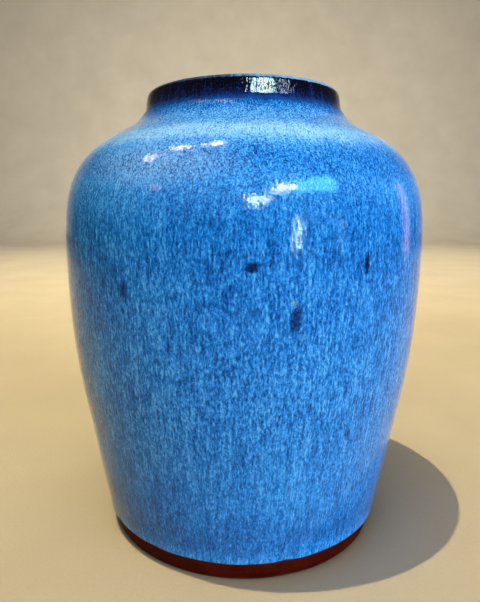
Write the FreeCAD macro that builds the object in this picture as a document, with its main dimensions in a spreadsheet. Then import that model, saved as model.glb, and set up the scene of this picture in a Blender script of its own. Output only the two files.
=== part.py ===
# Thrown stoneware vase: one fired clay piece with three glaze coats.
# Frame: millimetres, +Z up, the foot stands on z = 0, the pot's axis is the Z axis.
# Every section is drawn on the XZ plane as (radius, height) and turned about Z.
import FreeCAD, Part
import math
import os
import Sketcher

doc = FreeCAD.newDocument("StonewareVase")
V = FreeCAD.Vector

# ---------------------------------------------------------------- dimensions
# alias, value (mm or degrees), note
SIZES = [
    ("lip_centre_radius", 39.20, "radius of the ring the lip bead is centred on"),
    ("lip_centre_height", 187.60, "height of the centre of the lip bead"),
    ("lip_bead_radius", 2.00, "half the clay thickness at the lip"),
    ("glaze_line_height", 7.80, "height of the lower edge of the dark coat"),
    ("foot_slope", 11.5, "degrees the foot wall leans outward"),
    ("foot_bevel", 0.80, "outer bevel of the foot ring"),
    ("foot_inner_round", 1.00, "rounding of the foot ring's inner edge"),
    ("recess_radius", 52.00, "inner radius of the foot ring at the ground"),
    ("recess_top_radius", 51.00, "inner radius of the foot ring at the recess"),
    ("recess_depth", 4.00, "depth of the trimmed recess under the floor"),
    ("dark_coat", 0.40, "thickness of the cobalt black coat"),
    ("blue_coat", 0.60, "thickness of the milky blue coat"),
    ("liner_coat", 0.50, "thickness of the liner coat in the well"),
    ("blue_bead_round", 0.25, "rounding of the blue coat's lower edge"),
]
SIZE = {alias: value for alias, value, _ in SIZES}

FOOT_NORMAL = -SIZE["foot_slope"]
COLLAR_LEAN = 9.0  # degrees the collar leans in below the lip
THROAT_RADIUS = SIZE["lip_centre_radius"] - SIZE["lip_bead_radius"]
FLOOR_HEIGHT = 11.50
MIN_RECESS_CUT = 20000.0  # mm3 the foot recess must at least remove
MAX_OVERLAP = 1.0  # mm3 two pieces may share

# The walls are B-splines. Each row is one control point: radius, height,
# direction of the surface normal in degrees above horizontal.
# Outer clay wall, lower curve: just above the glaze line to the root of the collar.
OUTER = [
    (61.92, 8.37, FOOT_NORMAL),
    (63.55, 16.36, FOOT_NORMAL),
    (66.76, 34.59, -9.8),
    (69.33, 50.16, -10.2),
    (72.06, 64.13, -9.5),
    (74.61, 81.82, -6.4),
    (76.21, 101.34, -3.1),
    (76.88, 124.52, -0.1),
    (76.32, 150.51, 17.6),
    (62.68, 169.20, 55.2),
    (46.87, 174.03, 30.0),
    (43.29, 180.28, 30.0),
]
# Outer clay wall, upper curve: root of the collar up the collar, which leans in
# a little towards the lip.
COLLAR = [
    OUTER[-1],
    (42.875, 181.00, 30.0),
    (42.04, 182.445, 19.5),
    (41.889, 183.40, COLLAR_LEAN),
    (41.699, 184.60, COLLAR_LEAN),
]
# Inner clay wall: bottom of the throat, down the well, to the flat floor.
# The normal points into the well.
INNER = [
    (THROAT_RADIUS, 178.50, 180.0),
    (THROAT_RADIUS, 174.86, 180.0),
    (61.06, 164.14, -122.8),
    (68.08, 152.66, -154.8),
    (71.74, 141.40, -174.4),
    (71.60, 116.95, 178.0),
    (69.68, 82.93, 173.0),
    (63.86, 53.73, 168.6),
    (57.81, 24.08, 167.0),
    (55.30, 16.79, 134.7),
    (46.72, FLOOR_HEIGHT, 90.0),
    (40.00, FLOOR_HEIGHT, 90.0),
]
WALLS = {"outer": OUTER, "collar": COLLAR, "inner": INNER}

# Share of the full blue coat at each control point of OUTER: a rolled, thicker
# bead at the foot, thinning out under the collar.
BLUE_SHARE = [1.30, 1.05, 1.0, 1.0, 1.0, 1.0, 1.0, 1.0, 1.0, 0.95, 0.55, 0.35]


def build_sheet():
    """Spreadsheet of driving dimensions: alias, value, note."""
    rows = list(SIZES)
    for wall, note in (("outer", "outer wall control point"),
                       ("collar", "collar control point"),
                       ("inner", "inner wall control point")):
        for i, (radius, height, direction) in enumerate(WALLS[wall]):
            rows.append(("%s_rad_%02d" % (wall, i), radius, note + " radius"))
            rows.append(("%s_hgt_%02d" % (wall, i), height, note + " height"))
            rows.append(("%s_dir_%02d" % (wall, i), direction, note + " normal direction"))
    for i, share in enumerate(BLUE_SHARE):
        rows.append(("blue_share_%02d" % i, share, "share of the full blue coat"))

    sheet = doc.addObject("Spreadsheet::Sheet", "Dims")
    sheet.Label = "Dims"
    for number, (alias, value, note) in enumerate(rows, 1):
        sheet.set("A%d" % number, alias)
        sheet.set("B%d" % number, "%g" % value)
        sheet.set("C%d" % number, note)
        sheet.setAlias("B%d" % number, alias)
    doc.recompute()


# ------------------------------------------------------------ sketch helpers
# Point positions on a sketch element, and the sketch's own origin and axis.
START, END, CENTRE = 1, 2, 3
ORIGIN = (-1, START)
VERTICAL_AXIS = -2


def new_body(name):
    body = doc.addObject("PartDesign::Body", name)
    body.Label = name
    return body


def new_sketch(body, name):
    sketch = body.newObject("Sketcher::SketchObject", name)
    plane = next(f for f in body.Origin.OriginFeatures if f.Role == "XZ_Plane")
    sketch.AttachmentSupport = [(plane, "")]
    sketch.MapMode = "FlatFace"
    doc.recompute()
    return sketch


def constrain(sketch, kind, *argument_rows):
    """Add one constraint of this kind for each row of arguments."""
    for arguments in argument_rows:
        sketch.addConstraint(Sketcher.Constraint(kind, *arguments))


def drive(sketch, kind, arguments, value, expression):
    """Add a dimension bound to an expression."""
    i = sketch.addConstraint(Sketcher.Constraint(kind, *arguments, value))
    sketch.setExpression("Constraints[%d]" % i, expression)


def drive_point(sketch, geo, position, point, x_expression, y_expression):
    """Place one sketch point by two driven distances from the origin."""
    ends = ORIGIN + (geo, position)
    drive(sketch, "DistanceX", ends, point[0], x_expression)
    drive(sketch, "DistanceY", ends, point[1], y_expression)


def off_wall(station, thickness=0):
    """Point at a distance from a (radius, height, direction) station along its normal."""
    radius, height, direction = station
    angle = math.radians(direction)
    return radius + thickness * math.cos(angle), height + thickness * math.sin(angle)


def even_coat(name, wall):
    """The same coat at every control point of a wall."""
    return [(SIZE[name], "Dims." + name)] * len(WALLS[wall])


def wall_curve(sketch, wall, coats=None):
    """B-spline along a wall, moved along its normals by (thickness, expression) coats."""
    table = WALLS[wall]
    thicknesses = [thickness for thickness, _ in coats] if coats else [0] * len(table)
    points = [off_wall(station, t) for station, t in zip(table, thicknesses)]
    vectors = [V(*point, 0) for point in points]
    curve = sketch.addGeometry(
        Part.BSplineCurve(vectors, None, None, False, 3, None, False), False)

    # One construction circle stands for each control point; its radius is the weight.
    poles = []
    for vector in vectors:
        pole = sketch.addGeometry(Part.Circle(vector, V(0, 0, 1), 1.0), True)
        if poles:
            constrain(sketch, "Equal", (poles[0], pole))
        else:
            constrain(sketch, "Weight", (pole, 1.0))
        poles.append(pole)
    sketch.addConstraint([Sketcher.Constraint(
        "InternalAlignment:Sketcher::BSplineControlPoint", pole, CENTRE, curve, i)
        for i, pole in enumerate(poles)])

    for i, pole in enumerate(poles):
        radius = "Dims.%s_rad_%02d" % (wall, i)
        height = "Dims.%s_hgt_%02d" % (wall, i)
        if coats:
            angle = "(Dims.%s_dir_%02d * 1 deg)" % (wall, i)
            radius += " + (%s) * cos%s" % (coats[i][1], angle)
            height += " + (%s) * sin%s" % (coats[i][1], angle)
        drive_point(sketch, pole, CENTRE, points[i], radius, height)
    return curve, points


def polyline(sketch, *points):
    """Line segments from point to point, left unjoined."""
    return [sketch.addGeometry(Part.LineSegment(V(*a, 0), V(*b, 0)), False)
            for a, b in zip(points, points[1:])]


def line(sketch, start, end):
    return polyline(sketch, start, end)[0]


LIP_CENTRE = (SIZE["lip_centre_radius"], SIZE["lip_centre_height"])


def lip_side(radius):
    """Point where a lip arc of this radius meets the leaning collar."""
    return off_wall(LIP_CENTRE + (COLLAR_LEAN,), radius)


def lip_arc(sketch, radius, expression):
    """Arc over the lip, from the leaning outer side to the upright throat."""
    circle = Part.Circle(V(*LIP_CENTRE, 0), V(0, 0, 1), radius)
    arc = sketch.addGeometry(
        Part.ArcOfCircle(circle, math.radians(COLLAR_LEAN), math.pi), False)
    drive_point(sketch, arc, CENTRE, LIP_CENTRE,
                "Dims.lip_centre_radius", "Dims.lip_centre_height")
    drive(sketch, "Radius", (arc,), radius, expression)
    return arc


def foot_wall(height, height_expression):
    """Radius of the straight foot wall at a height, and its expression."""
    slope = math.tan(math.radians(SIZE["foot_slope"]))
    radius = OUTER[0][0] - slope * (OUTER[0][1] - height)
    expression = ("Dims.outer_rad_00 - (Dims.outer_hgt_00 - %s)"
                  " * tan(Dims.foot_slope * 1 deg)" % height_expression)
    return radius, expression


# ----------------------------------------------------------- feature helpers
def turn(body, sketch, name, kind="Revolution"):
    """Turn a section about Z, adding clay (Revolution) or cutting it (Groove)."""
    doc.recompute()
    feature = body.newObject("PartDesign::" + kind, name)
    feature.Profile = sketch
    feature.ReferenceAxis = (sketch, ["V_Axis"])
    feature.Angle = 360.0
    sketch.Visibility = False
    doc.recompute()
    body.Tip = feature
    return feature


def circle_edges(shape, radius, height, tolerance=0.05):
    return ["Edge%d" % i for i, edge in enumerate(shape.Edges, 1)
            if isinstance(edge.Curve, Part.Circle)
            and abs(edge.Curve.Radius - radius) < tolerance
            and abs(edge.Curve.Center.z - height) < tolerance]


def dress_edge(body, base, kind, name, size_property, point):
    """Fillet or chamfer the circular edge through a (radius, height) point.

    The feature's name is also the alias of its size."""
    feature = body.newObject("PartDesign::" + kind, name)
    feature.Base = (base, circle_edges(base.Shape, *point))
    setattr(feature, size_property, SIZE[name])
    feature.setExpression(size_property, "Dims." + name)
    doc.recompute()
    body.Tip = feature
    return feature


# -------------------------------------------------------------------- pieces
def build_clay():
    """The thrown wall, throat, lip and floor, with the foot trimmed hollow."""
    body = new_body("clay_body")
    sketch = new_sketch(body, "clay_section")
    foot_radius, foot_expression = foot_wall(0, "0")
    foot_corner = (foot_radius, 0)
    bead = SIZE["lip_bead_radius"]

    outer, outer_points = wall_curve(sketch, "outer")
    collar, collar_points = wall_curve(sketch, "collar")
    inner, inner_points = wall_curve(sketch, "inner")
    foot = line(sketch, foot_corner, outer_points[0])
    land = line(sketch, collar_points[-1], lip_side(bead))
    lip = lip_arc(sketch, bead, "Dims.lip_bead_radius")
    throat = line(sketch, (THROAT_RADIUS, LIP_CENTRE[1]), inner_points[0])
    floor, axis, ground = polyline(
        sketch, inner_points[-1], (0, FLOOR_HEIGHT), (0, 0), foot_corner)

    constrain(sketch, "Coincident", (foot, END, outer, START), (collar, END, land, START))
    constrain(sketch, "Tangent", (land, END, lip, START), (lip, END, throat, START))
    constrain(sketch, "Coincident",
              (throat, END, inner, START),
              (inner, END, floor, START),
              (floor, END, axis, START),
              (axis, END, ground, START),
              (ground, END, foot, START),
              (axis, END) + ORIGIN)
    constrain(sketch, "PointOnObject", (axis, START, VERTICAL_AXIS))
    constrain(sketch, "Horizontal", (floor,), (ground,))
    drive(sketch, "DistanceX", ORIGIN + (ground, END), foot_radius, foot_expression)
    turned = turn(body, sketch, "clay_turned")
    turned_volume = turned.Shape.Volume

    # A shallow recess under the floor leaves the foot ring.
    sketch = new_sketch(body, "recess_section")
    recess_edge = (SIZE["recess_radius"], 0)
    recess_top = (SIZE["recess_top_radius"], SIZE["recess_depth"])
    ground, side, top, axis = polyline(
        sketch, (0, 0), recess_edge, recess_top, (0, recess_top[1]), (0, 0))
    constrain(sketch, "Coincident",
              (ground, END, side, START),
              (side, END, top, START),
              (top, END, axis, START),
              (axis, END, ground, START),
              (ground, START) + ORIGIN)
    constrain(sketch, "Horizontal", (ground,), (top,))
    constrain(sketch, "PointOnObject", (axis, START, VERTICAL_AXIS))
    drive(sketch, "DistanceX", ORIGIN + (ground, END), recess_edge[0], "Dims.recess_radius")
    drive_point(sketch, top, START, recess_top, "Dims.recess_top_radius", "Dims.recess_depth")
    recess = turn(body, sketch, "foot_recess", "Groove")
    if recess.Shape.Volume > turned_volume - MIN_RECESS_CUT:
        raise RuntimeError("the foot recess cut nothing")

    # The foot ring has a small outer bevel and a rounded inner edge.
    bevel = dress_edge(body, recess, "Chamfer", "foot_bevel", "Size", foot_corner)
    dress_edge(body, bevel, "Fillet", "foot_inner_round", "Radius", recess_edge)
    return body


def build_dark():
    """Skin on the clay: from the glaze line, over the lip and down the throat."""
    body = new_body("dark_glaze")
    sketch = new_sketch(body, "dark_section")
    coat = SIZE["dark_coat"]
    bead = SIZE["lip_bead_radius"]
    line_height = SIZE["glaze_line_height"]
    line_radius, line_expression = foot_wall(line_height, "Dims.glaze_line_height")
    edge_inner = (line_radius, line_height)
    edge_outer = off_wall(edge_inner + (FOOT_NORMAL,), coat)
    throat_foot = INNER[0][1]
    glaze_radius = THROAT_RADIUS - coat

    wall_in, wall_in_points = wall_curve(sketch, "outer")
    collar_in, collar_in_points = wall_curve(sketch, "collar")
    wall_out, wall_out_points = wall_curve(sketch, "outer", even_coat("dark_coat", "outer"))
    collar_out, collar_out_points = wall_curve(
        sketch, "collar", even_coat("dark_coat", "collar"))
    foot_in = line(sketch, edge_inner, wall_in_points[0])
    land_in = line(sketch, collar_in_points[-1], lip_side(bead))
    lip_in = lip_arc(sketch, bead, "Dims.lip_bead_radius")
    throat_clay, throat_end, throat_glaze = polyline(
        sketch, (THROAT_RADIUS, LIP_CENTRE[1]), (THROAT_RADIUS, throat_foot),
        (glaze_radius, throat_foot), (glaze_radius, LIP_CENTRE[1]))
    lip_out = lip_arc(sketch, bead + coat, "Dims.lip_bead_radius + Dims.dark_coat")
    land_out = line(sketch, lip_side(bead + coat), collar_out_points[-1])
    foot_out, foot_edge = polyline(sketch, wall_out_points[0], edge_outer, edge_inner)

    constrain(sketch, "Coincident",
              (foot_in, END, wall_in, START),
              (collar_in, END, land_in, START))
    constrain(sketch, "Tangent",
              (land_in, END, lip_in, START),
              (lip_in, END, throat_clay, START))
    constrain(sketch, "Coincident",
              (throat_clay, END, throat_end, START),
              (throat_end, END, throat_glaze, START))
    constrain(sketch, "Tangent",
              (throat_glaze, END, lip_out, END),
              (lip_out, START, land_out, START))
    constrain(sketch, "Coincident",
              (land_out, END, collar_out, END),
              (wall_out, START, foot_out, START),
              (foot_out, END, foot_edge, START),
              (foot_edge, END, foot_in, START))
    constrain(sketch, "Horizontal", (throat_end,))
    constrain(sketch, "Vertical", (throat_glaze,))
    throat_corner = ORIGIN + (throat_clay, END)
    drive(sketch, "DistanceY", throat_corner, throat_foot, "Dims.inner_hgt_00")
    drive(sketch, "DistanceX", throat_corner, THROAT_RADIUS, "Dims.inner_rad_00")
    drive_point(sketch, foot_in, START, edge_inner, line_expression, "Dims.glaze_line_height")
    drive_point(sketch, foot_out, END, edge_outer,
                line_expression + " + Dims.dark_coat * cos(Dims.outer_dir_00 * 1 deg)",
                "Dims.glaze_line_height + Dims.dark_coat * sin(Dims.outer_dir_00 * 1 deg)")
    turn(body, sketch, "dark_turned")
    return body


def build_blue():
    """Milky overcoat on the dark coat, from just above the glaze line to the
    root of the collar, with a rolled lower edge and a feathered upper edge."""
    body = new_body("blue_glaze")
    sketch = new_sketch(body, "blue_section")
    coats = [(SIZE["dark_coat"] + SIZE["blue_coat"] * share,
              "Dims.dark_coat + Dims.blue_coat * Dims.blue_share_%02d" % i)
             for i, share in enumerate(BLUE_SHARE)]
    under, under_points = wall_curve(sketch, "outer", even_coat("dark_coat", "outer"))
    face, face_points = wall_curve(sketch, "outer", coats)
    lower = line(sketch, under_points[0], face_points[0])
    upper = line(sketch, under_points[-1], face_points[-1])
    constrain(sketch, "Coincident",
              (lower, START, under, START),
              (lower, END, face, START),
              (upper, START, under, END),
              (upper, END, face, END))
    turned = turn(body, sketch, "blue_turned")

    # The alias of this rounding differs from the feature's name.
    bead = body.newObject("PartDesign::Fillet", "blue_bead")
    bead.Base = (turned, circle_edges(turned.Shape, *face_points[0]))
    bead.Radius = SIZE["blue_bead_round"]
    bead.setExpression("Radius", "Dims.blue_bead_round")
    doc.recompute()
    body.Tip = bead
    return body


def build_liner():
    """Coat inside the well, from the foot of the throat down over the floor."""
    body = new_body("liner_glaze")
    sketch = new_sketch(body, "liner_section")
    glaze_top = FLOOR_HEIGHT + SIZE["liner_coat"]
    clay_side, clay_points = wall_curve(sketch, "inner")
    face, face_points = wall_curve(sketch, "inner", even_coat("liner_coat", "inner"))
    floor, axis, top = polyline(
        sketch, clay_points[-1], (0, FLOOR_HEIGHT), (0, glaze_top),
        (INNER[-1][0], glaze_top))
    throat_edge = line(sketch, face_points[0], clay_points[0])
    constrain(sketch, "Coincident",
              (clay_side, END, floor, START),
              (floor, END, axis, START),
              (axis, END, top, START),
              (top, END, face, END),
              (face, START, throat_edge, START),
              (throat_edge, END, clay_side, START))
    constrain(sketch, "Horizontal", (floor,), (top,))
    constrain(sketch, "PointOnObject",
              (axis, START, VERTICAL_AXIS), (axis, END, VERTICAL_AXIS))
    turn(body, sketch, "liner_turned")
    return body


build_sheet()
bodies = [build_clay(), build_dark(), build_blue(), build_liner()]
doc.recompute()

# --------------------------------------------------------- soundness, export
for item in doc.Objects:
    if item.TypeId == "Sketcher::SketchObject" and item.solve() != 0:
        raise RuntimeError("sketch %s does not solve" % item.Name)
for item in doc.Objects:
    bad = [state for state in item.State if state in ("Invalid", "Error")]
    if bad:
        raise RuntimeError("%s is %s" % (item.Name, bad))
for body in bodies:
    shape = body.Shape
    if shape.isNull() or not shape.isValid() or len(shape.Solids) != 1:
        raise RuntimeError("%s is not one valid solid" % body.Label)
for i, body in enumerate(bodies):
    for other in bodies[i + 1:]:
        overlap = body.Shape.common(other.Shape).Volume
        if overlap > MAX_OVERLAP:
            raise RuntimeError("%s and %s overlap by %.2f" % (
                body.Label, other.Label, overlap))

os.makedirs("parts", exist_ok=True)
for body in bodies:
    body.Shape.exportStep("parts/%s.step" % body.Label)
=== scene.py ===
"""A thrown stoneware vase with a dark coat, a milky blue coat over it and a glazed well.

The vase stands on its foot with its axis on Z and its front toward -Y, where the camera
is. Sections are (radius, height) in millimetres; shaders, stage and lights use metres.
"Length" along a section is arc length, and "bearing" is degrees round Z from +X.
"""
import math

import bmesh
import bpy
import numpy as np
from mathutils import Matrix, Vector


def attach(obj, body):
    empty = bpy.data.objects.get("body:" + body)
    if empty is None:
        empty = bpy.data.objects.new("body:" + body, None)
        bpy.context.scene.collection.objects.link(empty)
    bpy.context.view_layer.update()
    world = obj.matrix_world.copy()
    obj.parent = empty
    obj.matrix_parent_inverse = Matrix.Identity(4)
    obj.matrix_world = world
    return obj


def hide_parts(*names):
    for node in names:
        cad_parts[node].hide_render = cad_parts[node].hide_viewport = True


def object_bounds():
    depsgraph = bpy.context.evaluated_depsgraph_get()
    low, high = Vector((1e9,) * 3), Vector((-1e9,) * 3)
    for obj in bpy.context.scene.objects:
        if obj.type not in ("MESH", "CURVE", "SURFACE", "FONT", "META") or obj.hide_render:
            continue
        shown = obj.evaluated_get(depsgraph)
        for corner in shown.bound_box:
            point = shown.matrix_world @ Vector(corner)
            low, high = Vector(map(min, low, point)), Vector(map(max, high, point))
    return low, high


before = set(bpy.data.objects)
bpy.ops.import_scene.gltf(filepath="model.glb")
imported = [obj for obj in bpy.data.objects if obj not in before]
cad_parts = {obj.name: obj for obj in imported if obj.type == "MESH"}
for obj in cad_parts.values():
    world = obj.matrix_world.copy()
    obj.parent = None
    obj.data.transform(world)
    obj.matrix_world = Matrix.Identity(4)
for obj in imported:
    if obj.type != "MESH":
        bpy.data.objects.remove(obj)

cad_lo, cad_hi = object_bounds()
MM = 0.001
HEIGHT = 0.190                              # height the section is drawn at, m
FIT = (cad_hi.z - cad_lo.z) / HEIGHT        # scales the section to the CAD pieces
TURN = 2 * math.pi

# ------------------------------------------------------------------ the form
# Spline control points of the clay, (radius, height) in mm.
OUTER = [(61.92, 8.37), (63.55, 16.36), (66.76, 34.59), (69.33, 50.16), (72.06, 64.13),
         (74.61, 81.82), (76.21, 101.34), (76.88, 124.52), (76.32, 150.51),
         (62.68, 169.20), (46.87, 174.03), (43.29, 180.28)]
COLLAR = [(43.29, 180.28), (42.875, 181.00), (42.04, 182.445), (41.889, 183.40),
          (41.699, 184.60)]
INNER = [(37.20, 178.50), (37.20, 174.86), (61.06, 164.14), (68.08, 152.66), (71.74, 141.40),
         (71.60, 116.95), (69.68, 82.93), (63.86, 53.73), (57.81, 24.08), (55.30, 16.79),
         (46.72, 11.50), (40.00, 11.50)]
FLOOR_EDGE = INNER[-1]
THROAT = INNER[0]

# Round lip: centre radius and height, its own radius, and where its arc starts (degrees)
LIP_R, LIP_Z, LIP_ROUND, LIP_START = 39.2, 187.6, 2.0, 9.0
LIP_TOP = LIP_Z + LIP_ROUND

FOOT_LEAN = math.radians(11.5)
FOOT_SLOPE = math.tan(FOOT_LEAN)
FOOT_R = OUTER[0][0] - FOOT_SLOPE * OUTER[0][1]     # foot cone carried to the ground
FOOT_BEVEL_Z = 1.4                                  # top of the rounded outer foot edge

# Recess under the foot: mouth radius, roof radius, depth and the fillet at its roof
MOUTH_R, ROOF_R, RECESS_Z, FILLET = 52.0, 51.0, 4.0, 1.2

DARK_THICK, BLUE_THICK, LINER_THICK = 0.40, 0.60, 0.50
DARK_START_Z, BLUE_START_Z, BLUE_END_Z = 7.75, 8.45, 180.6
CENTRE_GAP = 1.2                # the well stops this short of the axis; a fan closes it

SEGMENTS = 432
THETA = np.linspace(0, TURN, SEGMENTS, endpoint=False)[None, :]
THETA_HALF = THETA[:, ::2]      # the clay and the liner need fewer


def unit(value):
    return np.clip(value, 0, 1)


def spline(poles, count=1200):
    """Points on the clamped uniform cubic B-spline through its control points."""
    poles = np.asarray(poles, float)
    end = len(poles) - 3
    knots = np.concatenate([[0.0] * 3, np.arange(end + 1), [float(end)] * 3])
    u = np.linspace(0, end, count)
    u[-1] -= 1e-9               # keeps the last point inside the last span
    basis = np.array([(u >= knots[i]) & (u < knots[i + 1])
                      for i in range(len(knots) - 1)], float)
    for degree in range(1, 4):
        raised = np.zeros((len(knots) - 1 - degree, count))
        for i in range(len(raised)):
            rise = knots[i + degree] - knots[i]
            fall = knots[i + degree + 1] - knots[i + 1]
            if rise > 0:
                raised[i] += (u - knots[i]) / rise * basis[i]
            if fall > 0:
                raised[i] += (knots[i + degree + 1] - u) / fall * basis[i + 1]
        basis = raised
    return basis.T @ poles


def arc(centre, radius, start, end, count):
    angle = np.radians(np.linspace(start, end, count))
    return np.stack([centre[0] + radius * np.cos(angle),
                     centre[1] + radius * np.sin(angle)], 1)


def join(*parts):
    """Chains runs of points, dropping a start that repeats the end before it."""
    chain = [np.asarray(parts[0], float)]
    for part in parts[1:]:
        part = np.asarray(part, float)
        repeats = np.allclose(part[0], chain[-1][-1], atol=1e-6)
        chain.append(part[1:] if repeats else part)
    return np.concatenate(chain)


class Curve:
    """A dense section curve with arc length and the normal on the right of its run."""

    STEP = 0.05                 # mm between samples
    SMOOTH = 9                  # samples averaged for a normal

    def __init__(self, points):
        gaps = np.linalg.norm(np.diff(points, axis=0), axis=1)
        points = points[np.concatenate([[True], gaps > 1e-7])]
        gaps = np.linalg.norm(np.diff(points, axis=0), axis=1)
        at = np.concatenate([[0], np.cumsum(gaps)])
        self.length = at[-1]
        self.s = np.linspace(0, self.length, int(self.length / self.STEP))
        self.points = np.stack([np.interp(self.s, at, points[:, i]) for i in (0, 1)], 1)
        tangent = np.gradient(self.points, self.s, axis=0)
        normal = np.stack([tangent[:, 1], -tangent[:, 0]], 1)
        kernel = np.ones(self.SMOOTH) / self.SMOOTH
        margin = self.SMOOTH // 2
        padded = np.pad(normal, ((margin, margin), (0, 0)), mode="edge")
        normal = np.stack([np.convolve(padded[:, i], kernel, "valid") for i in (0, 1)], 1)
        self.normals = normal / np.linalg.norm(normal, axis=1)[:, None]

    def at(self, s, offset=0.0):
        """Section points at lengths s, moved by an offset along the normal."""
        point = np.stack([np.interp(s, self.s, self.points[:, i]) for i in (0, 1)], -1)
        normal = np.stack([np.interp(s, self.s, self.normals[:, i]) for i in (0, 1)], -1)
        normal /= np.linalg.norm(normal, axis=-1)[..., None]
        return point + normal * np.asarray(offset)[..., None]

    def s_at_z(self, z):
        """Length along the climb at which the curve reaches a height."""
        climb = np.argmax(self.points[:, 1])
        return self.s[np.argmin(np.abs(self.points[:climb + 1, 1] - z))]


# Up the outside from the ground, over the lip and down to the foot of the throat.
SKIN = Curve(join([(FOOT_R, 0.0), OUTER[0]], spline(OUTER), spline(COLLAR, 200),
                  arc((LIP_R, LIP_Z), LIP_ROUND, LIP_START, 180, 60),
                  [(LIP_R - LIP_ROUND, LIP_Z), THROAT]))
# From the foot of the throat down the well to the centre of the floor.
WELL = Curve(join(spline(INNER), [FLOOR_EDGE, (0.0, FLOOR_EDGE[1])]))
# Out along the recess roof, down its side, across the foot ring and up its outer edge.
UNDER = Curve(join([(1.0, RECESS_Z), (ROOF_R - FILLET, RECESS_Z)],
                   arc((ROOF_R - FILLET, RECESS_Z - FILLET), FILLET, 90, 14, 10),
                   [(MOUTH_R - 0.12, 1.0)],
                   arc((MOUTH_R + 0.95, 1.0), 1.0, 180, 270, 10),
                   [(FOOT_R - 0.95, 0.0)],
                   arc((FOOT_R - 0.85, 0.9), 0.9, -90, -14, 9),
                   [(FOOT_R + FOOT_SLOPE * FOOT_BEVEL_Z, FOOT_BEVEL_Z)]))

# Lengths along the skin
S_DARK = SKIN.s_at_z(DARK_START_Z)
S_BLUE = SKIN.s_at_z(BLUE_START_Z)
S_BLUE_END = SKIN.s_at_z(BLUE_END_Z)
S_COLLAR = S_BLUE_END - 3.0     # rows are closer together from here to the throat
S_EVEN = S_BLUE + 6.0           # the dark coat's rows no longer follow its edge
S_CROWN = SKIN.s_at_z(LIP_TOP)
S_THROAT = SKIN.length


# ------------------------------------------------- hand-made irregularities
def wave(seed, harmonics, height):
    """A smooth closed wave round the pot, in mm."""
    rng = np.random.RandomState(seed)
    total = np.zeros_like(THETA)
    weights = 0.0
    for k in harmonics:
        weight = rng.uniform(0.5, 1.0) / math.sqrt(k)
        total += weight * np.sin(k * THETA + rng.uniform(0, TURN))
        weights += weight
    return height * total / weights * 2.0


def out_of_round(theta, z):
    """How far the wall strays from round, in mm: the same for clay and coats."""
    spiral = 0.018 * np.sin(TURN * z / 9.5 + theta)
    oval = (0.13 * np.sin(2 * theta + 0.6 + z / 60.0)
            + 0.08 * np.sin(3 * theta + 2.1 - z / 45.0))
    slow = (0.06 * np.sin(5 * theta + z / 21.0)
            + 0.05 * np.sin(7 * theta - z / 15.0 + 1.3))
    # truer toward the collar and the foot
    fade = np.clip((184.0 - z) / 14.0, 0.15, 1.0) * np.clip(z / 14.0, 0.35, 1.0)
    return (spiral + oval + slow) * fade


def well_rings(theta, s):
    """Throwing rings inside the well in mm, fading at the throat and the floor's centre."""
    rings = 0.42 * unit((s - 6.0) / 18.0) * (
        np.sin(TURN * s / 8.6 + theta) + 0.35 * np.sin(TURN * s / 5.1 + theta + 1.0))
    return rings * unit((WELL.length - s) / 12.0)


def half_round(distance, radius):
    """Share of the full thickness at a distance from a rolled edge."""
    return np.sqrt(unit(1 - (1 - unit(distance / radius)) ** 2))


# Sags and lifts of the glaze edge: bearing, size (mm, positive is lower), width (degrees)
DRIPS = [(-76.0, -0.55, 2.6), (-98.0, 0.35, 4.0), (-121.0, 0.3, 3.0), (38.0, 0.5, 4.0),
         (95.0, -0.45, 3.5), (150.0, 0.45, 3.0), (-35.0, 0.3, 3.5)]


def edge_drips():
    drip = np.zeros_like(THETA)
    for bearing, size, width in DRIPS:
        gap = (np.degrees(THETA) - bearing + 180) % 360 - 180
        drip += size * np.exp(-(gap / width) ** 2)
    return drip


# The dark coat ends just above the bare foot and the blue a little higher.
drip = edge_drips()
dark_wave = wave(seed=11, harmonics=(2, 3, 5, 8, 13), height=0.22)
blue_wave = wave(seed=12, harmonics=(4, 7, 11, 17, 29), height=0.20)
blue_start = S_BLUE + (dark_wave + 0.10 + blue_wave - drip)
dark_start = S_DARK + (dark_wave - 0.6 * drip)
blue_end = S_BLUE_END + wave(seed=13, harmonics=(3, 5, 9, 14, 23, 37, 61), height=0.45)


# --------------------------------------------------------------------- meshes
def spaced(start, end, step, near_ends=()):
    """Shares from 0 to 1 along a run, with extra ones at set distances from its ends."""
    near = np.array(near_ends) / (end - start)
    even = np.linspace(0, 1, max(3, int((end - start) / step)))
    share = np.unique(np.round(np.concatenate([even, near, 1 - near]), 6))
    return share[(share >= 0) & (share <= 1)]


def between(start, end, share):
    """Rows of lengths at shares of the way from start to end."""
    return start * (1 - share[:, None]) + end * share[:, None]


def around(lengths, theta):
    """Rows of lengths that are the same all the way round."""
    return lengths[:, None] + 0 * theta


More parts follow.
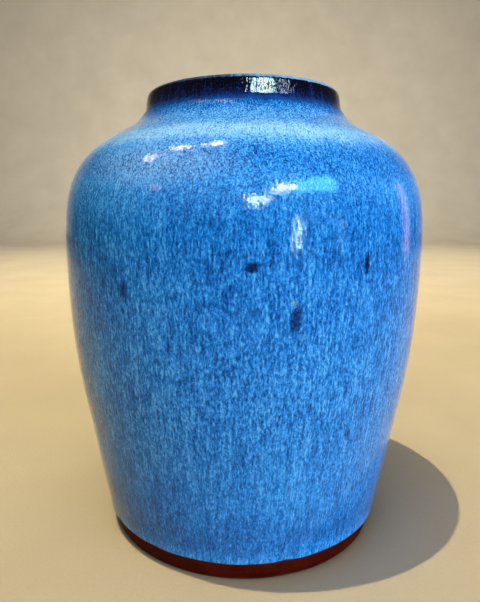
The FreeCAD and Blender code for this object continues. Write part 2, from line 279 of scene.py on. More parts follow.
def make_mesh(name, section, lengths, theta, closed, wobble_share=1.0):
    """Revolves rows of section points (rows, segments, 2) in mm into one closed mesh.

    A closed section loops on itself; an open one ends near the axis and gets end fans.
    """
    radius = section[..., 0] + out_of_round(theta, section[..., 1]) * wobble_share
    points = np.stack([radius * np.cos(theta), radius * np.sin(theta), section[..., 1]], -1)
    rows, segments = points.shape[:2]
    co = points.reshape(-1, 3) * MM * FIT
    index = np.arange(rows * segments).reshape(rows, segments)
    turned = np.roll(index, -1, axis=1)
    bands = rows if closed else rows - 1
    above = (np.arange(bands) + 1) % rows
    quads = np.stack([index[:bands], turned[:bands], turned[above], index[above]], -1)
    quads = quads.reshape(-1, 4)
    fans = []
    if not closed:
        hub = len(co)
        co = np.concatenate([co, [[0, 0, co[index[0], 2].mean()],
                                  [0, 0, co[index[-1], 2].mean()]]])
        for j in range(segments):
            k = (j + 1) % segments
            fans.append((hub, index[0, k], index[0, j]))
            fans.append((hub + 1, index[-1, j], index[-1, k]))
    fans = np.array(fans, int).reshape(-1, 3)

    mesh = bpy.data.meshes.new(name)
    mesh.vertices.add(len(co))
    mesh.vertices.foreach_set("co", co.astype(np.float32).ravel())
    loops = np.concatenate([quads.ravel(), fans.ravel()])
    starts = np.concatenate([np.arange(len(quads)) * 4,
                             len(quads) * 4 + np.arange(len(fans)) * 3])
    mesh.loops.add(len(loops))
    mesh.loops.foreach_set("vertex_index", loops.astype(np.int32))
    mesh.polygons.add(len(starts))
    mesh.polygons.foreach_set("loop_start", starts.astype(np.int32))
    mesh.update(calc_edges=True)
    mesh.validate()
    mesh.shade_smooth()

    # length along the section in metres, which the glaze shaders run along
    flow = np.zeros(len(co), np.float32)
    flow[:rows * segments] = lengths.reshape(-1) * MM
    mesh.attributes.new("flow", "FLOAT", "POINT").data.foreach_set("value", flow)
    ob = bpy.data.objects.new(name, mesh)
    bpy.context.scene.collection.objects.link(ob)

    # outward normals, whichever way the section ran
    bm = bmesh.new()
    bm.from_mesh(mesh)
    bmesh.ops.recalc_face_normals(bm, faces=bm.faces)
    if bm.calc_volume(signed=True) < 0:
        bmesh.ops.reverse_faces(bm, faces=bm.faces)
    bm.to_mesh(mesh)
    bm.free()
    return ob


def make_blue_coat():
    near_ends = (0.06, 0.14, 0.26, 0.42, 0.62, 0.9, 1.4, 2.0)
    outer = between(blue_start, blue_end, spaced(S_BLUE, S_BLUE_END, 1.25, near_ends))
    inner = between(blue_start, blue_end, spaced(S_BLUE, S_BLUE_END, 5.0)[::-1])
    # beaded at the lower edge, thinning toward the collar, rolled at both ends
    from_start, to_end = outer - blue_start, blue_end - outer
    bead = 1.0 + 0.30 * np.exp(-((from_start - 1.0) / 1.6) ** 2)
    thin = 0.22 + 0.78 * unit(to_end / 22.0) ** 0.8
    least = 0.012
    thick = (BLUE_THICK * bead * thin * half_round(from_start, 0.85)
             * (0.1 + 0.9 * half_round(to_end, 0.9)) + least)
    section = np.concatenate([SKIN.at(outer, DARK_THICK + thick), SKIN.at(inner, DARK_THICK)])
    return make_mesh("blue_coat", section, np.concatenate([outer, inner]), THETA, closed=True)


def make_dark_coat():
    edge = spaced(S_DARK, S_EVEN, 1.4, (0.05, 0.12, 0.22, 0.36, 0.55, 0.8, 1.1))
    outer = np.concatenate([between(dark_start, S_EVEN, edge),
                            around(np.linspace(S_EVEN, S_COLLAR, 42)[1:-1], THETA),
                            around(np.linspace(S_COLLAR, S_THROAT, 74), THETA)])
    inner = np.concatenate([around(np.linspace(S_THROAT, S_EVEN, 60), THETA),
                            between(dark_start, S_EVEN, np.linspace(1, 0, 5)[1:])])
    thick = DARK_THICK * (0.06 + 0.94 * half_round(outer - dark_start, 0.5))
    # the coat is pulled thin over the lip and gathers a little under it
    thick = (thick * (1 - 0.30 * np.exp(-((outer - S_CROWN) / 1.6) ** 2))
             + 0.07 * np.exp(-((outer - S_CROWN + 4.2) / 1.8) ** 2))
    section = np.concatenate([SKIN.at(outer, thick), SKIN.at(inner)])
    return make_mesh("dark_coat", section, np.concatenate([outer, inner]), THETA, closed=True)


def make_liner():
    s = around((WELL.length - CENTRE_GAP) * np.linspace(0, 1, 190), THETA_HALF)
    rings = well_rings(THETA_HALF, s)
    # thin at the throat, with a thicker band low in the well
    thick = (LINER_THICK * (0.80 + 0.20 * half_round(s, 3.0))
             + 0.22 * np.exp(-((s - 186.0) / 9.0) ** 2))
    section = np.concatenate([WELL.at(s, rings + thick)[::-1], WELL.at(s, rings)])
    return make_mesh("liner_coat", section, np.concatenate([s[::-1], s]), THETA_HALF,
                     closed=False)


def make_clay():
    """Recess, foot ring, outer wall, lip, throat, well and floor in one skin."""
    theta = THETA_HALF
    under = np.unique(np.concatenate([np.linspace(0, UNDER.length, 70),
                                      np.linspace(ROOF_R - 4, UNDER.length, 60)]))[:, None]
    under_s = under + 0 * theta
    under_section = UNDER.at(under_s)
    # turning marks spiral over the recess roof
    under_section[..., 1] += (0.10 * np.sin(TURN * (under + 1.3 * theta / TURN) / 2.9)
                              * unit((ROOF_R - 3 - under) / 4) * unit(under / 3))

    wall_start = FOOT_BEVEL_Z / math.cos(FOOT_LEAN) + 0.2
    wall_s = around(np.concatenate([np.linspace(wall_start, S_BLUE + 2, 22),
                                    np.linspace(S_BLUE + 2, S_COLLAR, 60)[1:],
                                    np.linspace(S_COLLAR, S_THROAT, 70)[1:]]), theta)
    # fine grooves on the bare foot only
    grooves = (0.035 * np.sin(TURN * wall_s / 1.15 + theta)
               * unit((9.0 - wall_s) / 1.5) * unit(wall_s - 1.6))

    well_s = around(np.linspace(0.4, WELL.length - CENTRE_GAP, 150), theta)
    section = np.concatenate([under_section, SKIN.at(wall_s, grooves),
                              WELL.at(well_s, well_rings(theta, well_s))])
    lengths = np.concatenate([under_s - 80.0, wall_s, well_s + S_THROAT])
    # the recess is round at its centre and joins the wall's wobble further out
    wobble_share = np.ones((len(section), 1))
    wobble_share[:len(under)] = unit((under - 20) / 25.0)
    return make_mesh("clay_wall", section, lengths, theta, False, wobble_share)


blue = make_blue_coat()
dark = make_dark_coat()
liner = make_liner()
clay = make_clay()


# -------------------------------------------------------------- shader helpers
class Signal:
    """A shader output; arithmetic on it adds Math nodes."""

    def __init__(self, graph, socket):
        self.graph, self.socket = graph, socket

    def math(self, operation, other=0.0):
        return self.graph.node("ShaderNodeMath", (self, other, 0.0), operation=operation)

    def __add__(self, other):
        return self.math("ADD", other)

    def __sub__(self, other):
        return self.math("SUBTRACT", other)

    def __mul__(self, other):
        return self.math("MULTIPLY", other)

    def __truediv__(self, other):
        return self.math("DIVIDE", other)

    def remap(self, span, to=(0.0, 1.0), smooth=False):
        """Carries a span of values to another, clamped at its ends."""
        return self.graph.node("ShaderNodeMapRange", (self, *span, *to),
                               interpolation_type="SMOOTHSTEP" if smooth else "LINEAR")


class Graph:
    """Small helper to write a material's shader as expressions."""

    def __init__(self, name):
        self.material = bpy.data.materials.new(name)
        self.material.use_nodes = True
        self.tree = self.material.node_tree
        self.tree.nodes.clear()
        output = self.tree.nodes.new("ShaderNodeOutputMaterial")
        self.bsdf = self.tree.nodes.new("ShaderNodeBsdfPrincipled")
        self.tree.links.new(self.bsdf.outputs[0], output.inputs["Surface"])

    def put(self, node, inputs):
        for key, value in inputs.items():
            if isinstance(value, Signal):
                self.tree.links.new(value.socket, node.inputs[key])
            else:
                node.inputs[key].default_value = value

    def node(self, kind, inputs=(), output=0, **settings):
        """Adds a node; inputs are in order, or a dict by name or index."""
        node = self.tree.nodes.new(kind)
        for key, value in settings.items():
            setattr(node, key, value)
        self.put(node, inputs if isinstance(inputs, dict) else dict(enumerate(inputs)))
        return Signal(self, node.outputs[output])

    def surface(self, inputs):
        """Sets the Principled inputs and returns the finished material."""
        self.put(self.bsdf, inputs)
        return self.material

    def vector(self, operation, a, b):
        return self.node("ShaderNodeVectorMath", (a, b), operation=operation)

    def combine(self, x, y, z):
        return self.node("ShaderNodeCombineXYZ", (x, y, z))

    def split(self, vector):
        x = self.node("ShaderNodeSeparateXYZ", (vector,))
        return [Signal(self, socket) for socket in x.socket.node.outputs]

    def noise(self, place, scale, detail=0.0, roughness=0.5, output=0):
        return self.node("ShaderNodeTexNoise", {"Vector": place, "Scale": scale,
                         "Detail": detail, "Roughness": roughness}, output)

    def run_noise(self, place, across, along, detail, roughness):
        """Noise with its own frequency round the pot and along the glaze's run."""
        stretched = self.vector("MULTIPLY", place, (across, across, along))
        return self.noise(stretched, 1.0, detail, roughness)

    def warped(self, place, scale, amount):
        """A place shifted by a noise of the given scale, amount in metres."""
        noise = self.noise(place, scale, detail=1.0, output="Color")
        shift = self.vector("SUBTRACT", noise, (0.5, 0.5, 0.5))
        shift = self.node("ShaderNodeVectorMath", {0: shift, "Scale": amount},
                          operation="SCALE")
        return self.vector("ADD", place, shift)

    def ramp(self, value, stops):
        color = self.node("ShaderNodeValToRGB", (value,))
        elements = color.socket.node.color_ramp.elements
        while len(elements) < len(stops):
            elements.new(0.5)
        for element, (position, rgb) in zip(elements, stops):
            element.position = position
            element.color = (*rgb, 1.0)
        return color

    def curve(self, value, points):
        result = self.node("ShaderNodeFloatCurve", {"Value": value})
        mapping = result.socket.node.mapping
        mapping.use_clip = True
        knots = mapping.curves[0].points
        while len(knots) < len(points):
            knots.new(0.5, 0.5)
        for knot, location in zip(knots, points):
            knot.location = location
            knot.handle_type = "AUTO_CLAMPED"
        mapping.update()
        return result

    def blend(self, share, a, b):
        """Mixes two numbers."""
        return self.node("ShaderNodeMix", {0: share, 2: a, 3: b}, data_type="FLOAT")

    def mix(self, share, under, over):
        """Lays a fixed colour over another by a share."""
        return self.node("ShaderNodeMix", {0: share, 6: under, 7: (*over, 1.0)}, output=2,
                         data_type="RGBA")

    def bump(self, height, distance, strength, over=None):
        inputs = {"Strength": strength, "Distance": distance, "Height": height}
        if over is not None:
            inputs["Normal"] = over
        return self.node("ShaderNodeBump", inputs)

    def object_position(self):
        return self.node("ShaderNodeTexCoord", output="Object")

    def locate(self):
        """Sets the position on the pot, its x, y and z, and its radius from the axis."""
        self.position = self.object_position()
        self.x, self.y, self.z = self.split(self.position)
        radius = (self.x * self.x + self.y * self.y).math("SQRT")
        self.radius = radius.math("MAXIMUM", 1e-5)

    def flow(self):
        """Place along the glaze's run: round a fixed circle and down the wall."""
        self.locate()
        length = self.node("ShaderNodeAttribute", output="Fac", attribute_name="flow")
        return self.combine(self.x / self.radius * FLOW_R, self.y / self.radius * FLOW_R,
                            length)


FLOW_R = 0.074                  # radius of the circle the glaze noises are laid on
SHOULDER = (0.128, 0.156)       # heights between which the wall turns to shoulder
GLAZE_IOR = 1.5


def streaks(g, flow):
    """The fine runs of the glaze: long on the wall, grainy on the shoulder.

    Returns the blended runs, then the broad, long, fine and grain noises.
    """
    bent = g.warped(flow, scale=260.0, amount=0.0011)
    long_run = g.run_noise(bent, across=1150.0, along=150.0, detail=1.0, roughness=0.55)
    fine = g.run_noise(bent, across=1500.0, along=620.0, detail=1.0, roughness=0.6)
    grain = g.run_noise(bent, across=1900.0, along=1500.0, detail=1.0, roughness=0.6)
    broad = g.run_noise(flow, across=330.0, along=75.0, detail=2.0, roughness=0.5)
    shoulder = g.z.remap(SHOULDER, smooth=True)
    # weights on the wall and on the shoulder
    runs = long_run * g.blend(shoulder, 0.30, 0.07) + (
        fine * g.blend(shoulder, 0.45, 0.28) + grain * g.blend(shoulder, 0.25, 0.65))
    return runs, broad, long_run, fine, grain


def spots(g, flow, marks):
    """Soft spots; see MARKS for the columns."""
    warped = g.warped(flow, scale=900.0, amount=0.0022)
    total = None
    for bearing, z, width, height, depth in marks:
        angle = math.radians(bearing)
        centre = (FLOW_R * math.cos(angle), FLOW_R * math.sin(angle), SKIN.s_at_z(z) * MM)
        offset = g.vector("SUBTRACT", warped, centre)
        offset = g.vector("MULTIPLY", offset, (1 / width, 1 / width, 1 / height))
        distance = g.node("ShaderNodeVectorMath", (offset,), output="Value",
                          operation="LENGTH")
        spot = distance.remap((1.25, 0.25), smooth=True) * depth
        total = spot if total is None else total.math("MAXIMUM", spot)
    return total


def collar_edge(g, flow, grain):
    """Wavering height, and a grainy 0 to 1 step where the blue ends under the collar."""
    height = g.z + (g.noise(flow, 150.0, detail=2.0) - 0.5) * 0.0016
    return height, height.remap((0.1786, 0.1830)) + (grain - 0.5) * 2.0


# ------------------------------------------------------------------ materials
# Spots: bearing (degrees), height (mm), half width and half height (m), depth 0 to 1.
# Dark iron specks that bled through the milky coat
MARKS = [(-89.3, 122.7, 0.0022, 0.0023, 0.95), (-59.0, 123.0, 0.0014, 0.0040, 1.0),
         (-78.2, 105.6, 0.0024, 0.0058, 0.72), (-123.1, 113.8, 0.0024, 0.0040, 0.5),
         (-59.2, 60.9, 0.0020, 0.0028, 0.45), (-92.5, 109.0, 0.0012, 0.0040, 0.3),
         (8.0, 96.0, 0.0022, 0.0046, 0.8), (41.0, 134.0, 0.0015, 0.0030, 0.9),
         (77.0, 70.0, 0.0024, 0.0050, 0.6), (118.0, 117.0, 0.0020, 0.0038, 0.85),
         (163.0, 88.0, 0.0026, 0.0058, 0.7), (-168.0, 131.0, 0.0012, 0.0026, 0.8)]
# Small pale spots in the coat
PALE_SPOTS = [(-79.0, 111.0, 0.0015, 0.0014, 0.9), (-76.4, 99.5, 0.0012, 0.0016, 0.35),
          (22.0, 128.0, 0.0013, 0.0015, 0.7), (140.0, 101.0, 0.0016, 0.0014, 0.7)]
# Wide pale shoulder patches: painted ceiling glare at -117 degrees, milkier coat at 52
DRIFTS_AND_SHEEN = [(-117.0, 157.0, 0.037, 0.0110, 0.50), (52.0, 152.0, 0.030, 0.0090, 0.35)]

# Curves over the share of the pot's height: mean tone, streak contrast, pale band.
MILK = [(0.0, 0.60), (0.050, 0.60), (0.085, 0.42), (0.11, 0.43), (0.16, 0.49),
        (0.24, 0.57), (0.32, 0.58), (0.45, 0.58), (0.55, 0.56), (0.68, 0.51),
        (0.74, 0.54), (0.785, 0.58), (0.825, 0.43), (0.86, 0.57), (0.880, 0.62),
        (0.893, 0.58), (0.91, 0.54), (0.925, 0.48), (0.94, 0.29), (0.955, 0.22), (1.0, 0.15)]
CONTRAST = [(0.0, 0.44), (0.2, 0.50), (0.4, 0.64), (0.6, 0.58), (0.75, 0.52),
            (0.82, 0.54), (0.88, 0.62), (0.93, 0.82), (1.0, 0.7)]
# pale band: partly a milkier coat, partly a painted highlight across the top of the shoulder
VEIL_AND_HIGHLIGHT = [(0.0, 0.02), (0.74, 0.03), (0.79, 0.08), (0.82, 0.06), (0.84, 0.10), (0.866, 0.50),
        (0.880, 0.80), (0.893, 0.48), (0.905, 0.25), (0.925, 0.18), (0.94, 0.05), (1.0, 0.0)]


def blue_glaze():
    g = Graph("glaze_milky_blue")
    flow = g.flow()
    runs, broad, long_run, fine, grain = streaks(g, flow)
    cloud = g.run_noise(flow, across=38.0, along=22.0, detail=2.0, roughness=0.5)
    waver = (g.noise(flow, 90.0, detail=2.0) - 0.5) * 0.004
    height_share = (g.z + waver) / (HEIGHT * FIT)

    # tone runs from deep (0) to milky (1)
    contrast = g.curve(height_share, CONTRAST) * 5.2
    tone = (runs - 0.5) * contrast + g.curve(height_share, MILK)
    tone = tone + (broad - 0.5) * g.z.remap(SHOULDER, to=(0.42, 0.15))
    tone = tone + (cloud - 0.5) * g.z.remap(SHOULDER, to=(0.36, 0.22))
    spot = spots(g, flow, MARKS)
    tone = tone - spot * 0.62
    color = g.ramp(tone, [(0.0, (0.0008, 0.032, 0.17)), (0.2, (0.0015, 0.075, 0.33)),
                          (0.5, (0.006, 0.187, 0.68)), (0.75, (0.035, 0.335, 0.91)),
                          (1.0, (0.14, 0.53, 0.98))])

    # painted highlight and reflection: a pale band high on the shoulder and pale patches,
    # partly milkier coat
    veil_and_sheen = g.curve(height_share, VEIL_AND_HIGHLIGHT).math("MAXIMUM", spots(g, flow, DRIFTS_AND_SHEEN))
    veil_and_sheen = veil_and_sheen * tone.remap((0.05, 0.95), to=(0.05, 1.0))
    color = g.mix(veil_and_sheen, color, over=(0.35, 0.66, 0.92))
    color = g.mix(spot.math("POWER", 1.7) * 0.85, color, over=(0.003, 0.005, 0.045))
    pale_spot = spots(g, flow, PALE_SPOTS) * grain.remap((0.40, 0.62), to=(0.25, 1.0))
    color = g.mix(pale_spot * 0.85, color, over=(0.26, 0.62, 0.82))
    # where the coat feathers out under the collar the dark one shows between runs
    feather = collar_edge(g, flow, grain)[1].remap((0.25, 0.85), smooth=True)
    color = g.mix(feather, color, over=(0.0022, 0.006, 0.038))

    # rougher where milky, on the shoulder and at the feathered edge
    roughness = (tone.remap((0.0, 1.0), to=(0.035, 0.07))
                 + g.z.remap((0.140, 0.158), to=(0.0, 0.012))
                 + g.z.remap((0.1765, 0.1800), to=(0.0, 0.14)))
    relief = long_run * 0.25 + (fine * 0.45 + grain * 0.30) - spot * 0.3
    pits = g.run_noise(flow, across=700.0, along=540.0, detail=2.0, roughness=0.6)
    normal = g.bump(relief, distance=0.00022, strength=0.09)
    normal = g.bump(pits, distance=0.00034, strength=0.25, over=normal)
    normal = g.bump(broad, distance=0.0005, strength=0.14, over=normal)
    return g.surface({"Base Color": color, "Roughness": roughness, "IOR": GLAZE_IOR,
                      "Specular IOR Level": g.z.remap((0.1768, 0.1798), to=(0.25, 0.07)),
                      "Normal": normal})


def dark_glaze():
    g = Graph("glaze_cobalt_black")
    flow = g.flow()
    runs, broad, _, fine, grain = streaks(g, flow)
    height, edge = collar_edge(g, flow, grain)
    # darker toward the lip
    tone = (runs - 0.5) * 3.0 + height.remap((0.1806, 0.1872)).remap((0.0, 1.0),
                                                                     to=(0.88, 0.26))
    tone = tone + (broad - 0.5) * 0.9
    color = g.ramp(tone, [(0.0, (0.0003, 0.0003, 0.0008)), (0.35, (0.0006, 0.0007, 0.0035)),
                          (0.6, (0.0020, 0.0045, 0.032)), (1.0, (0.007, 0.030, 0.180))])
    # runs of blue reach up the collar
    blue_run = edge.remap((0.85, 0.25), smooth=True) * height.remap((0.1850, 0.1815))
    color = g.mix(blue_run * 0.95, color, over=(0.004, 0.065, 0.31))
    # over the crown of the lip the thin coat is paler, plus a painted highlight, stronger at
    # +X
    crown = g.z.remap((0.1880, 0.1889)) + (g.noise(flow, 420.0, detail=3.0) - 0.5) * 1.1
    crown = crown.remap((0.45, 0.9), smooth=True) * g.z.remap((0.1878, 0.1882))
    x = g.split(g.position)[0]
    # painted highlight: brighter on the +X side, which faces the window light
    lit_side = (x + (broad - 0.5) * 0.05).remap((-0.012, 0.018), to=(0.14, 1.0))
    color = g.mix(crown * lit_side * 0.9, color, over=(0.17, 0.40, 0.82))

    pits = g.run_noise(flow, across=360.0, along=300.0, detail=2.0, roughness=0.55)
    normal = g.bump(fine, distance=0.00015, strength=0.12)
    normal = g.bump(pits, distance=0.0006, strength=0.25, over=normal)
    normal = g.bump(broad, distance=0.0006, strength=0.22, over=normal)
    return g.surface({"Base Color": color, "IOR": GLAZE_IOR,
                      "Roughness": fine.remap((0.3, 0.7), to=(0.04, 0.09)),
                      "Specular IOR Level": g.z.remap((0.1800, 0.1832), to=(0.12, 0.42)),
                      "Normal": normal})


def liner_glaze():
    g = Graph("glaze_liner")
    runs, broad, _, fine, _ = streaks(g, g.flow())
    pool = g.noise(g.position, 60.0, detail=3.0)
    up_well = g.z.remap((0.012, 0.15))
    tone = (runs - 0.5) * 1.6 + (pool * 0.35 + up_well * 0.12)
    color = g.ramp(tone, [(0.0, (0.002, 0.006, 0.03)), (0.35, (0.006, 0.022, 0.10)),
                          (0.65, (0.018, 0.08, 0.30)), (1.0, (0.09, 0.26, 0.60))])
    return g.surface({"Base Color": color, "IOR": GLAZE_IOR,
                      "Roughness": fine.remap((0.3, 0.7), to=(0.10, 0.22)),
                      "Normal": g.bump(broad, distance=0.0005, strength=0.3)})


def stoneware():
    g = Graph("stoneware_clay")
    g.locate()
    grain = g.noise(g.position, 2600.0, detail=3.0, roughness=0.6)
    patch = g.noise(g.position, 90.0, detail=3.0, roughness=0.55)
    # turning lines follow height and radius only
    lines = g.noise(g.combine(g.radius * 0.3, g.radius * 0.3, g.z), 900.0, detail=2.0,
                    roughness=0.6)
    cells = g.node("ShaderNodeTexVoronoi", {"Vector": g.position, "Scale": 520.0},
                   output="Distance")
    grog = cells.remap((0.10, 0.20), to=(1.0, 0.0))
    tone = grain * 0.35 + (patch * 0.45 + lines * 0.25)
    color = g.ramp(tone, [(0.25, (0.026, 0.0012, 0.0004)), (0.5, (0.060, 0.0036, 0.0011)),
                          (0.75, (0.110, 0.011, 0.0040))])
    color = g.mix(grog * 0.35, color, over=(0.15, 0.032, 0.015))
    # the ground edge of the foot is rubbed paler
    rub = g.z.remap((0.0012, 0.0002)) * patch.remap((0.35, 0.6))
    color = g.mix(rub * 0.5, color, over=(0.26, 0.08, 0.045))
    # a toasted flash round the glaze line
    flash = g.z.remap((0.0055, 0.0076)) * g.z.remap((0.0095, 0.0085))
    color = g.mix(flash * 0.45, color, over=(0.05, 0.010, 0.008))
    normal = g.bump(lines * 0.7 + grain * 0.5, distance=0.00035, strength=0.55)
    return g.surface({"Base Color": color, "Specular IOR Level": 0.08,
                      "Roughness": grain.remap((0.3, 0.7), to=(0.66, 0.9)),
                      "Normal": g.bump(grog, distance=0.0002, strength=-0.3, over=normal)})


def paper():
    g = Graph("paper_sweep")
    position = g.object_position()
    mottle = g.noise(position, 9.0, detail=4.0, roughness=0.55)
    tooth = g.noise(position, 700.0, detail=2.0, roughness=0.6)
    color = g.ramp(mottle * 0.7 + tooth * 0.3, [(0.3, (0.335, 0.31, 0.265)),
                                                (0.7, (0.385, 0.36, 0.31))])
    normal = g.bump(tooth, distance=0.0006, strength=0.5)
    return g.surface({"Base Color": color, "Roughness": 0.9, "Specular IOR Level": 0.2,
                      "Normal": g.bump(mottle, distance=0.004, strength=0.35, over=normal)})


for ob, material, node, slot in ((blue, blue_glaze(), "blue_glaze", "blue_glaze"),
                                 (dark, dark_glaze(), "dark_glaze", "dark_glaze"),
                                 (liner, liner_glaze(), "liner_glaze", "liner_glaze"),
                                 (clay, stoneware(), "clay_body", "clay")):
    ob.data.materials.append(material)
    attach(ob, "root")
    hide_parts(node)


# ---------------------------------------------------------------------- stage
def make_sweep():
    """Seamless floor that curves up into a backdrop behind the pot."""
    front, bend_start, bend, top, half_width, steps = -1.9, 2.05, 0.55, 2.8, 3.0, 24
    profile = [(front, 0.0), (bend_start, 0.0)]
    for i in range(1, steps + 1):
        angle = math.radians(90.0 * i / steps)
        profile.append((bend_start + bend * math.sin(angle), bend - bend * math.cos(angle)))
    profile.append((bend_start + bend, top))
    verts = [(x, y, z) for y, z in profile for x in (-half_width, half_width)]
    faces = [(2 * i, 2 * i + 1, 2 * i + 3, 2 * i + 2) for i in range(len(profile) - 1)]
    mesh = bpy.data.meshes.new("stage_sweep")
    mesh.from_pydata(verts, [], faces)
    mesh.shade_smooth()
    ob = bpy.data.objects.new("stage_sweep", mesh)
    bpy.context.scene.collection.objects.link(ob)
    ob.location.z = cad_lo.z
    return ob


floor = make_sweep()
floor.data.materials.append(paper())


# --------------------------------------------------------------------- lights
def add_light(name, bearing, elevation, distance, width, height, power, color, receivers,
              target=(0, 0, 0.12), aim=None, spread=None, diffuse=True, glossy=False):
    """A rectangular light placed from its target, facing it or another aim point.

    A narrow spread (degrees) keeps its brightness. Receivers limit what it lights, and
    everything still casts its shadow.
    """
    light = bpy.data.lights.new(name, "AREA")
    light.shape = "RECTANGLE"
    light.size, light.size_y = width, height
    light.energy = power
    light.color = color
    if spread is not None:
        half = math.radians(spread) / 2
        share = math.sin(half) ** 2 - (half - math.sin(2 * half) / 2) / math.tan(half)
        light.spread = 2 * half
        light.energy = power * share
    ob = bpy.data.objects.new(name, light)
    bpy.context.scene.collection.objects.link(ob)
    a, e = math.radians(bearing), math.radians(elevation)
    back = Vector((math.cos(a) * math.cos(e), math.sin(a) * math.cos(e), math.sin(e)))
    ob.location = Vector(target) + back * distance
    ob.rotation_mode = "QUATERNION"
    look = (Vector(aim) - ob.location).normalized() if aim else -back
    ob.rotation_quaternion = look.to_track_quat("-Z", "Y")
    ob.visible_diffuse = diffuse
    ob.visible_glossy = glossy
    ob.visible_camera = False
    if receivers:
        ob.light_linking.receiver_collection = receivers


def receiver_group(name, *members):
    group = bpy.data.collections.new(name)
    for member in members:
        group.objects.link(member)
    return group


stage_only = receiver_group("stage_only", floor)
vase_only = receiver_group("vase_only", blue, dark, liner, clay)
blue_only = receiver_group("blue_only", blue)
dark_only = receiver_group("dark_only", dark)

# Light columns: name, bearing, elevation, distance, width, height, power, colour, receivers
# (degrees, metres, watts). Room lights end with their other settings.
ROOM_LIGHTS = (
    # warm ceiling light that throws the crisp shadow
    ("ceiling_main", -148, 76.4, 3.0, 0.03, 0.03, 88.0, (1.0, 0.79, 0.54), vase_only, {}),
    ("ceiling_pool", -148, 76.4, 3.0, 0.03, 0.03, 222.0, (1.0, 0.78, 0.38), stage_only,
     {"aim": (0.03, 0.70, 0.0), "spread": 46}),
    # a second ceiling light, over the back of the sweep
    ("ceiling_back", -95, 84, 2.8, 0.9, 0.9, 72.0, (1.0, 0.81, 0.50), stage_only,
     {"target": (0.1, 1.65, 0.0), "spread": 60}),
    # light thrown on the backdrop
    ("backdrop_wash", -90, 16, 2.6, 2.8, 1.2, 140.0, (1.0, 0.93, 0.80), stage_only,
     {"target": (0.1, 2.6, 0.34), "spread": 84}),
    # warm room light from overhead, softening the shadow
    ("room_floor", -100, 74, 2.4, 1.6, 1.6, 37.0, (1.0, 0.87, 0.66), stage_only, {}),
    # cool daylight from the front right
    ("window_fill", -48, 27, 4.0, 2.4, 1.6, 176.0, (0.72, 0.89, 1.0), vase_only, {}),
    ("window_floor", -48, 27, 4.0, 2.4, 1.6, 44.0, (0.90, 0.94, 0.98), stage_only, {}),
    # general soft light on everything
    ("room_soft", -100, 74, 2.4, 1.6, 1.6, 6.0, (1.0, 0.93, 0.80), None, {}),
)
for *light, settings in ROOM_LIGHTS:
    add_light(*light, **settings)

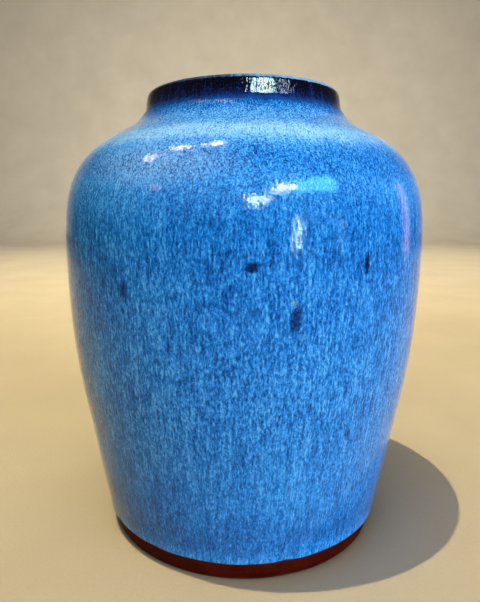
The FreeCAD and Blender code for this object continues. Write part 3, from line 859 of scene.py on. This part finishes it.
# What the glossy coats mirror; these give no diffuse light.
WHITE, PINK, CYAN = (0.86, 1.0, 0.82), (1.0, 0.93, 0.74), (0.16, 0.80, 0.95)
WARM, MINT = (1.0, 0.78, 0.66), (0.80, 1.0, 0.90)
GLINTS = (
    ("glint_ceiling_a", -177, 51, 2.0, 0.11, 0.24, 3.4, WARM, blue_only),
    ("glint_ceiling_b", -177.5, 65.5, 2.0, 0.12, 0.19, 3.6, WARM, blue_only),
    ("glint_ceiling_c", -159.5, 78, 2.0, 0.10, 0.22, 4.0, WARM, blue_only),
    ("glint_ceiling_d", -148, 28, 2.0, 0.12, 0.20, 0.9, (1.0, 0.62, 0.62), blue_only),
    ("glint_ceiling_wide_a", -143, 52, 2.0, 1.5, 0.8, 3.0, MINT, blue_only),
    ("glint_ceiling_wide_b", -141, 47, 2.0, 2.2, 1.5, 6.0, MINT, blue_only),
    ("glint_ceiling_wide_c", -137, 41, 2.0, 3.2, 2.3, 10.0, MINT, blue_only),
    ("glint_overhead", -100, 74, 2.4, 1.6, 1.6, 4.0, (0.80, 0.97, 1.0), blue_only),
    ("glint_window_a", -84, 21.0, 1.5, 0.30, 0.13, 5.6, WHITE, blue_only),
    ("glint_window_ab", -74, 26.5, 1.5, 0.16, 0.12, 1.6, WHITE, blue_only),
    ("glint_window_b", -66, 31.5, 1.5, 0.26, 0.18, 7.4, PINK, blue_only),
    ("glint_window_c", -45, 31.0, 1.5, 0.66, 0.34, 15.0, CYAN, blue_only),
    ("glint_jamb_a", -60.8, 4, 1.5, 0.026, 0.36, 4.6, (0.62, 1.0, 0.95), blue_only),
    ("glint_jamb_b", -34.5, 2, 1.5, 0.035, 0.36, 0.6, (0.4, 0.85, 1.0), blue_only),
    ("glint_pane", -48, 9, 1.5, 0.50, 0.36, 0.8, (0.25, 0.62, 1.0), blue_only),
    ("glint_rose", 22, 4, 1.5, 0.16, 0.80, 1.1, (1.0, 0.66, 0.90), blue_only),
    ("glint_back_left", 122, 10, 2.0, 1.2, 0.8, 0.55, (1.0, 0.96, 0.80), blue_only),
    ("glint_back_right", 57, 10, 2.0, 1.2, 0.8, 0.35, (1.0, 0.86, 0.90), blue_only),
    ("glint_rim_a", -77, 34, 1.5, 0.17, 0.50, 12.0, (0.55, 0.94, 1.0), dark_only),
    ("glint_rim_b", -66, 38, 1.5, 0.11, 0.55, 8.5, PINK, dark_only),
    ("glint_rim_c", -58, 38, 1.5, 0.12, 0.60, 8.0, (0.42, 0.90, 1.0), dark_only),
    ("glint_rim_d", -42, 34, 1.5, 0.12, 0.45, 3.2, (0.55, 0.75, 1.0), dark_only),
)
for light in GLINTS:
    add_light(*light, diffuse=False, glossy=True)

scene = bpy.context.scene
world = bpy.data.worlds.new("room")
scene.world = world
world.use_nodes = True
background = world.node_tree.nodes["Background"]
background.inputs["Color"].default_value = (0.95, 0.93, 0.88, 1.0)
background.inputs["Strength"].default_value = 0.08
scene.view_settings.view_transform = "Standard"

# --------------------------------------------------------------------- camera
# In front of the vase and above its middle, looking toward +Y and tilted down.
TILT_DOWN = 9.482               # degrees
lens = bpy.data.cameras.new("camera")
lens.sensor_width = 36.0
lens.lens = 30.928903654
lens.shift_x = 0.01936877076
lens.shift_y = -0.00438538206
lens.clip_start, lens.clip_end = 0.01, 20.0
camera = bpy.data.objects.new("camera", lens)
scene.collection.objects.link(camera)
camera.location = (-0.00641, -0.23927, 0.14004)
camera.rotation_euler = (math.radians(90.0 - TILT_DOWN), 0.0, 0.0)
scene.camera = camera
